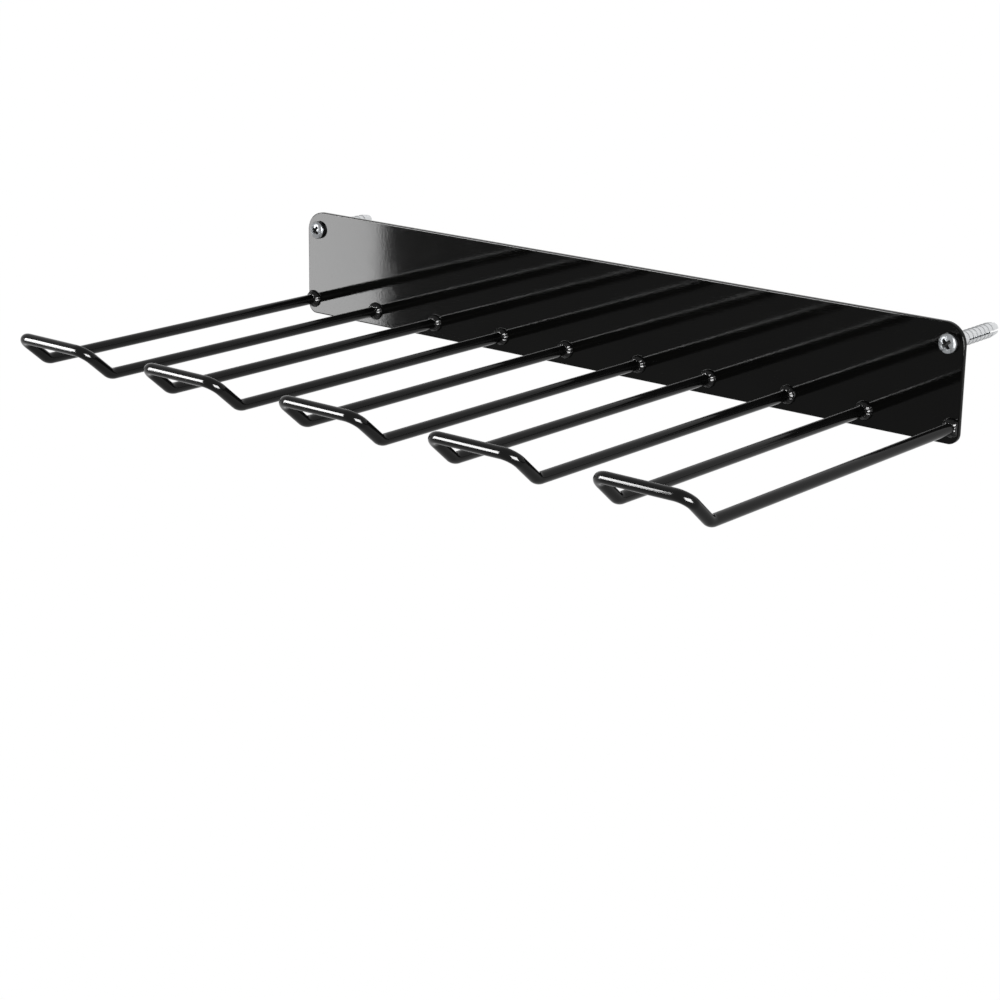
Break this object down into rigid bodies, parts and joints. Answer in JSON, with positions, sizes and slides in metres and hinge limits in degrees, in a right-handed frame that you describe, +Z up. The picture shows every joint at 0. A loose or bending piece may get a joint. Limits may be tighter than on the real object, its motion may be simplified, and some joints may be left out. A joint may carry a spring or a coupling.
{
  "type": "wall mounted power tool organizer",
  "caption": "Wall rack for power tools: a long steel plate with welded, upturned wire loop hooks whose gaps hold tool handles, fixed by pan head screws and split wall plugs.",
  "frame": {"origin": "middle of the plate's back face, which lies on the wall", "axes": "+Y into the wall, square to the back face; +X along the plate; +Z up; the hooks reach towards -Y"},
  "size_m": [0.4608, 0.2817, 0.064],
  "materials": {
    "plate_coat": "gloss black powder coat",
    "rod_coat": "gloss black powder coat",
    "weld_coat": "gloss black powder coat over a rippled weld bead",
    "bright_zinc": "bright zinc plate",
    "grey_nylon": "moulded nylon"
  },
  "bodies": {
    "root": {"back_plate": "plate_coat", "wire_hook_1": "rod_coat", "wire_hook_2": "rod_coat", "wire_hook_3": "rod_coat", "wire_hook_4": "rod_coat", "wire_hook_5": "rod_coat", "hook_weld_1_left": "weld_coat", "hook_weld_1_right": "weld_coat", "hook_weld_2_left": "weld_coat", "hook_weld_2_right": "weld_coat", "hook_weld_3_left": "weld_coat", "hook_weld_3_right": "weld_coat", "hook_weld_4_left": "weld_coat", "hook_weld_4_right": "weld_coat", "hook_weld_5_left": "weld_coat", "hook_weld_5_right": "weld_coat", "wall_screw_left": "bright_zinc", "wall_screw_right": "bright_zinc", "wall_plug_left": "grey_nylon", "wall_plug_right": "grey_nylon"}
  },
  "joints": []
}
